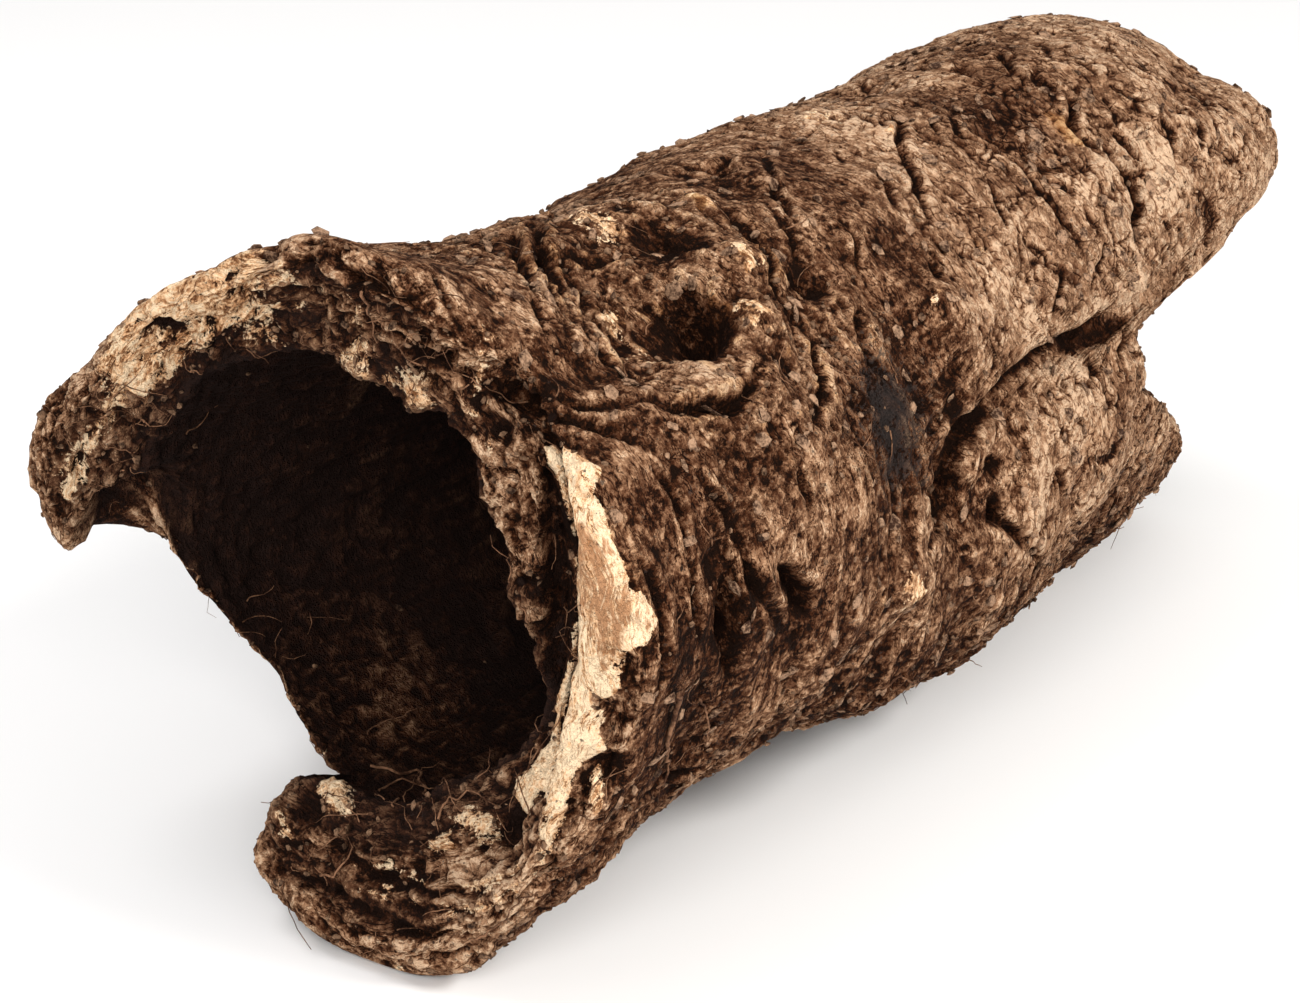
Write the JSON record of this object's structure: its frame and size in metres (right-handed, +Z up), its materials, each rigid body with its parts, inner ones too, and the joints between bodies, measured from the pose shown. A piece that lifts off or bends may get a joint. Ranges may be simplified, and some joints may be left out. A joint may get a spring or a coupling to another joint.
{
  "type": "piece of bark",
  "caption": "Hollow round of cork bark with one end torn back to a thick lip, a knot hole and a ragged far end: a hide or planter for a terrarium.",
  "frame": {"origin": "centre of the bounding box in plan, on the surface that the bark lies on", "axes": "+Z up, +X along the hollow from the torn mouth to the ragged end, -Y the flank with the knot hole"},
  "size_m": [0.3178, 0.1644, 0.159],
  "materials": {
    "bark": "dry, rough and matt"
  },
  "bodies": {
    "root": {"bark": "bark"}
  },
  "joints": []
}
